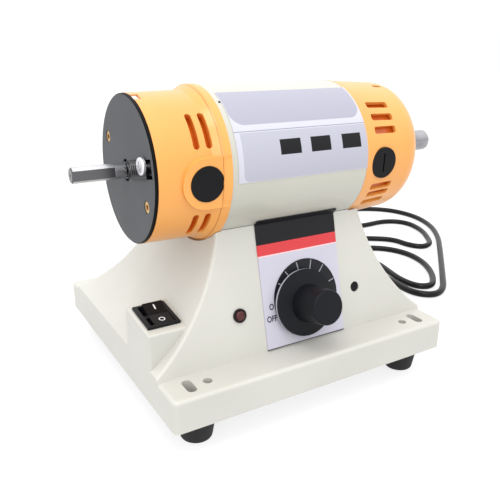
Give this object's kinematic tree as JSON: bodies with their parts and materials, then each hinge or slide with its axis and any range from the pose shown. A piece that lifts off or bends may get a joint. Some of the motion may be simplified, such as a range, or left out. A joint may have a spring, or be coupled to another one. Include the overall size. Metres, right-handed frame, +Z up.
{
  "type": "jewelry polishing machine",
  "caption": "Bench polishing motor in the saddle of a footed hollow base, with a plain spindle end, a flexible-shaft end, a speed knob, a rocker switch and a cord.",
  "frame": {"origin": "middle of the base in plan, on the surface that the feet stand on", "axes": "+X along the motor shaft towards the flexible-shaft coupling, -Y towards the user and the speed knob, +Z up"},
  "size_m": [0.537, 0.3898, 0.2127],
  "materials": {
    "cream_paint": "satin",
    "white_paint": "gloss",
    "orange_plastic": "gloss",
    "label_film": "satin",
    "black_plastic": "satin",
    "grey_disc": "satin",
    "black_rubber": "matte",
    "red_lens": "gloss",
    "lamp_rim": "gloss",
    "zinc_steel": "satin",
    "brass_screw": "satin",
    "chrome_screw": "polished",
    "shaft_steel": "polished",
    "lamination_steel": "matte",
    "copper_winding": "gloss",
    "copper_bars": "satin",
    "white_nylon": "satin",
    "carbon": "matte",
    "aluminium": "satin",
    "board_laminate": "satin"
  },
  "bodies": {
    "machine": {"base_housing": "cream_paint", "bottom_plate": "zinc_steel", "rubber_feet": "black_rubber", "foot_screws": "zinc_steel", "plate_screws": "zinc_steel", "label_plate": "label_film", "dial_disc": "black_plastic", "potentiometer": "zinc_steel", "pot_nut": "zinc_steel", "pilot_lamp": "lamp_rim", "pilot_lens": "red_lens", "panel_screw": "black_plastic", "heat_sink": "aluminium", "triac": "black_plastic", "rocker_switch_body": "black_plastic", "motor_tube": "white_paint", "saddle_bolts": "zinc_steel", "motor_label": "label_film", "left_end_cap": "orange_plastic", "left_end_plate": "grey_disc", "through_bolts": "brass_screw", "lock_screw": "chrome_screw", "lock_spring": "zinc_steel", "left_bearing": "shaft_steel", "right_bearing": "shaft_steel", "stator_core": "lamination_steel", "field_windings": "copper_winding", "brush_holders": "brass_screw", "carbon_brushes": "carbon", "brush_springs": "zinc_steel", "brush_caps": "black_plastic", "port_caps": "black_plastic", "right_end_cap": "orange_plastic", "speed_board": "board_laminate", "board_standoffs": "white_nylon", "board_components": "black_plastic", "strain_relief": "black_rubber", "power_cord": "black_rubber", "power_plug": "black_plastic", "plug_pins": "brass_screw"},
    "rotor": {"motor_shaft": "shaft_steel", "lock_collar": "shaft_steel", "armature_core": "lamination_steel", "armature_windings": "copper_winding", "commutator": "copper_bars", "cooling_fan": "orange_plastic", "flex_coupling": "shaft_steel", "coupling_screw": "zinc_steel"},
    "speed_control": {"speed_knob": "black_plastic", "pot_shaft": "zinc_steel"},
    "switch_rocker": {"rocker": "black_plastic"},
    "lock_bar": {"spindle_lock": "black_plastic"}
  },
  "joints": [
    {"name": "rotor_spin", "type": "hinge", "parent": "machine", "child": "rotor", "pos_m": [0, -0.02828, 0.16221], "axis": [1, 0, 0], "continuous": true},
    {"name": "knob_turn", "type": "hinge", "parent": "machine", "child": "speed_control", "pos_m": [0.0006, -0.07497, 0.06872], "axis": [0, -0.9728, 0.2317], "range_deg": [-270, 0]},
    {"name": "rocker_switch", "type": "hinge", "parent": "machine", "child": "switch_rocker", "pos_m": [-0.0965, -0.051, 0.07055], "axis": [1, 0, 0], "range_deg": [-18, 0]},
    {"name": "spindle_lock_slide", "type": "slide", "parent": "machine", "child": "lock_bar", "axis": [0, 0.9825, -0.1865], "range_m": [0, 0.0017], "stiffness_N_per_m": 300, "springref_m": -0.001}
  ]
}
